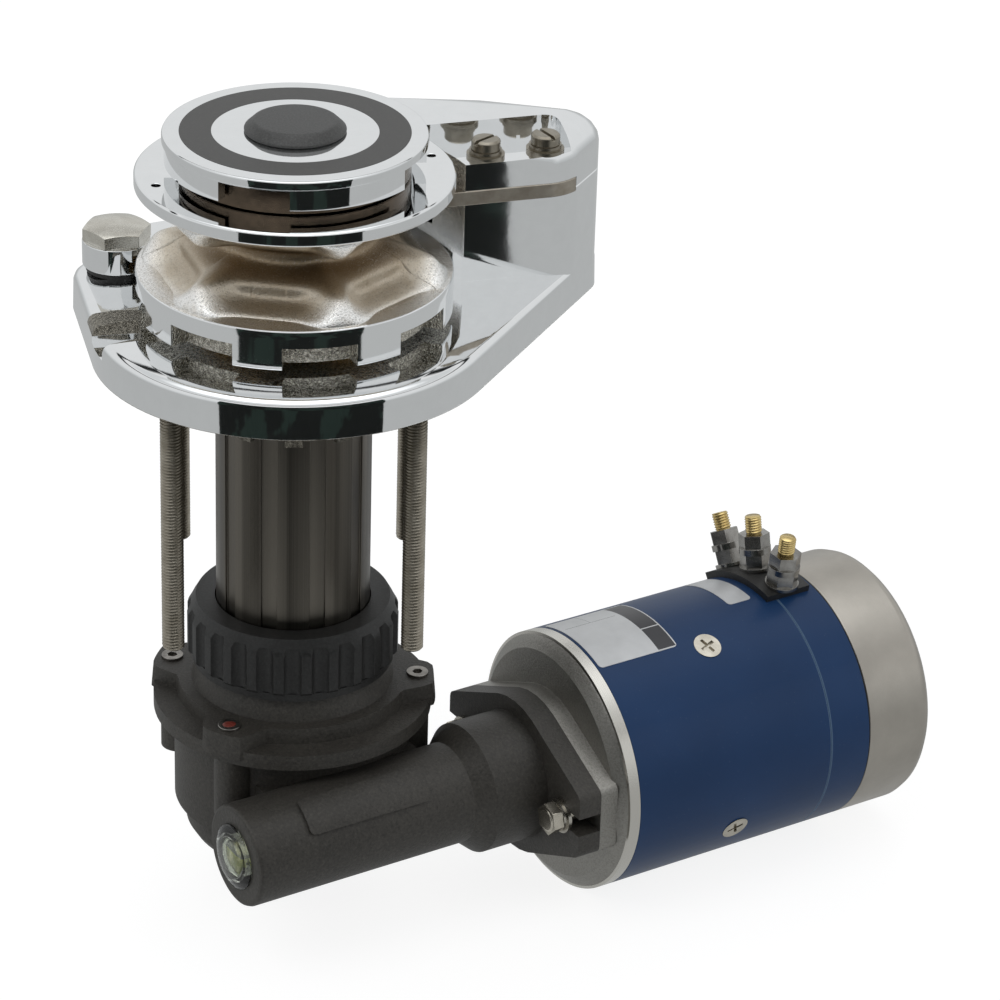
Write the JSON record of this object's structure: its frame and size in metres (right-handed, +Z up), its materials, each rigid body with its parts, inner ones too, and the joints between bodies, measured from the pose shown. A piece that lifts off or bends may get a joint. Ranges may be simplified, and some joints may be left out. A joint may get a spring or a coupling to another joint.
{
  "type": "vertical anchor windlass",
  "caption": "Vertical anchor windlass: chromed deck casting with chain-pipe tower and pawl, pocketed chainwheel between clutch cones, fluted tube, worm gearbox and DC motor.",
  "frame": {"origin": "deck face of the base casting on the chainwheel's axis", "axes": "+Z up along the main shaft, +X to the right and +Y away from the front, square to the four deck studs"},
  "size_m": [0.399, 0.2393, 0.3786],
  "materials": {
    "polished_chrome": "mirror-polished chrome plate",
    "cast_chrome": "chrome over rough casting, warm tint",
    "stainless": "brushed stainless steel",
    "bronze_plate": "dull nickel bronze",
    "bronze": "machined bronze",
    "brass": "bright brass",
    "steel": "ground steel",
    "anodised": "dark anodised aluminium",
    "black_plastic": "black glass-filled plastic",
    "black_rubber": "black rubber",
    "dark_paint": "dark grey grainy paint over a casting",
    "cast_aluminium": "bare cast aluminium",
    "blue_paint": "deep blue gloss paint",
    "satin_silver": "satin turned aluminium",
    "zinc": "zinc-plated steel",
    "inlay_black": "black inlay, blank",
    "glass": "clear sight glass with oil behind",
    "copper": "copper",
    "core_iron": "laminated iron"
  },
  "bodies": {
    "frame": {"base_casting": "polished_chrome", "deck_studs": "stainless", "chain_stripper": "bronze_plate", "chainpipe_hood": "polished_chrome", "hood_screws": "stainless", "hood_washers": "stainless", "pawl_washer": "black_plastic", "pawl_pivot_bolt": "stainless", "base_bearing": "steel", "base_seal": "black_rubber", "spacer_tube": "anodised", "ring_nut": "black_plastic", "ring_collar": "black_plastic", "gearbox_cover": "dark_paint", "cover_screws": "dark_paint", "gearbox_case": "dark_paint", "gearbox_bearings": "steel", "gearbox_seal": "black_rubber", "worm_bearings": "steel", "worm_seal": "black_rubber", "sight_glass": "glass", "motor_bell": "cast_aluminium", "flange_bolts": "zinc", "flange_bolt_washers": "zinc", "motor_shell": "blue_paint", "motor_cap": "satin_silver", "pole_screws": "zinc", "field_poles": "core_iron", "field_coils": "copper", "brush_gear": "black_plastic", "motor_bearings": "steel", "terminal_strip": "black_plastic", "terminal_studs": "brass", "terminal_nuts": "zinc"},
    "main_shaft": {"main_shaft": "steel", "drive_keys": "steel", "lower_clutch_cone": "bronze", "worm_wheel": "bronze"},
    "armature": {"worm": "steel", "coupling_sleeve": "steel", "armature": "core_iron", "commutator": "copper"},
    "chainwheel": {"chainwheel": "cast_chrome", "chainwheel_bush": "bronze", "flange_disc": "polished_chrome"},
    "upper_cone": {"upper_clutch_cone": "polished_chrome"},
    "clutch_nut": {"clutch_nut": "polished_chrome", "inlay_ring": "inlay_black"},
    "socket_plug": {"socket_plug": "black_rubber"},
    "pawl": {"pawl": "polished_chrome"}
  },
  "joints": [
    {"name": "shaft_turn", "type": "hinge", "parent": "frame", "child": "main_shaft", "pos_m": [0, 0, 0], "axis": [0, 0, 1], "continuous": true},
    {"name": "armature_turn", "type": "hinge", "parent": "frame", "child": "armature", "pos_m": [0.03062, -0.05391, -0.2075], "axis": [0.8695, 0.4939, 0], "continuous": true},
    {"name": "chainwheel_turn", "type": "hinge", "parent": "main_shaft", "child": "chainwheel", "pos_m": [0, 0, 0.05], "axis": [0, 0, 1], "continuous": true},
    {"name": "cone_lift", "type": "slide", "parent": "main_shaft", "child": "upper_cone", "axis": [0, 0, 1], "range_m": [0, 0.00151]},
    {"name": "clutch_nut_turn", "type": "hinge", "parent": "upper_cone", "child": "clutch_nut", "pos_m": [0, 0, 0.09], "axis": [0, 0, 1], "range_deg": [0, 180]},
    {"name": "plug_pull", "type": "slide", "parent": "clutch_nut", "child": "socket_plug", "axis": [0, 0, 1], "range_m": [0, 0.02]},
    {"name": "pawl_swing", "type": "hinge", "parent": "frame", "child": "pawl", "pos_m": [-0.079, 0.046, 0.027], "axis": [0, 0, 1], "range_deg": [-36, 0]}
  ],
  "couplings": [
    {"joint": "armature_turn", "follows": "shaft_turn", "ratio": -64},
    {"joint": "cone_lift", "follows": "clutch_nut_turn", "m_per_rad": 0.00047746}
  ]
}
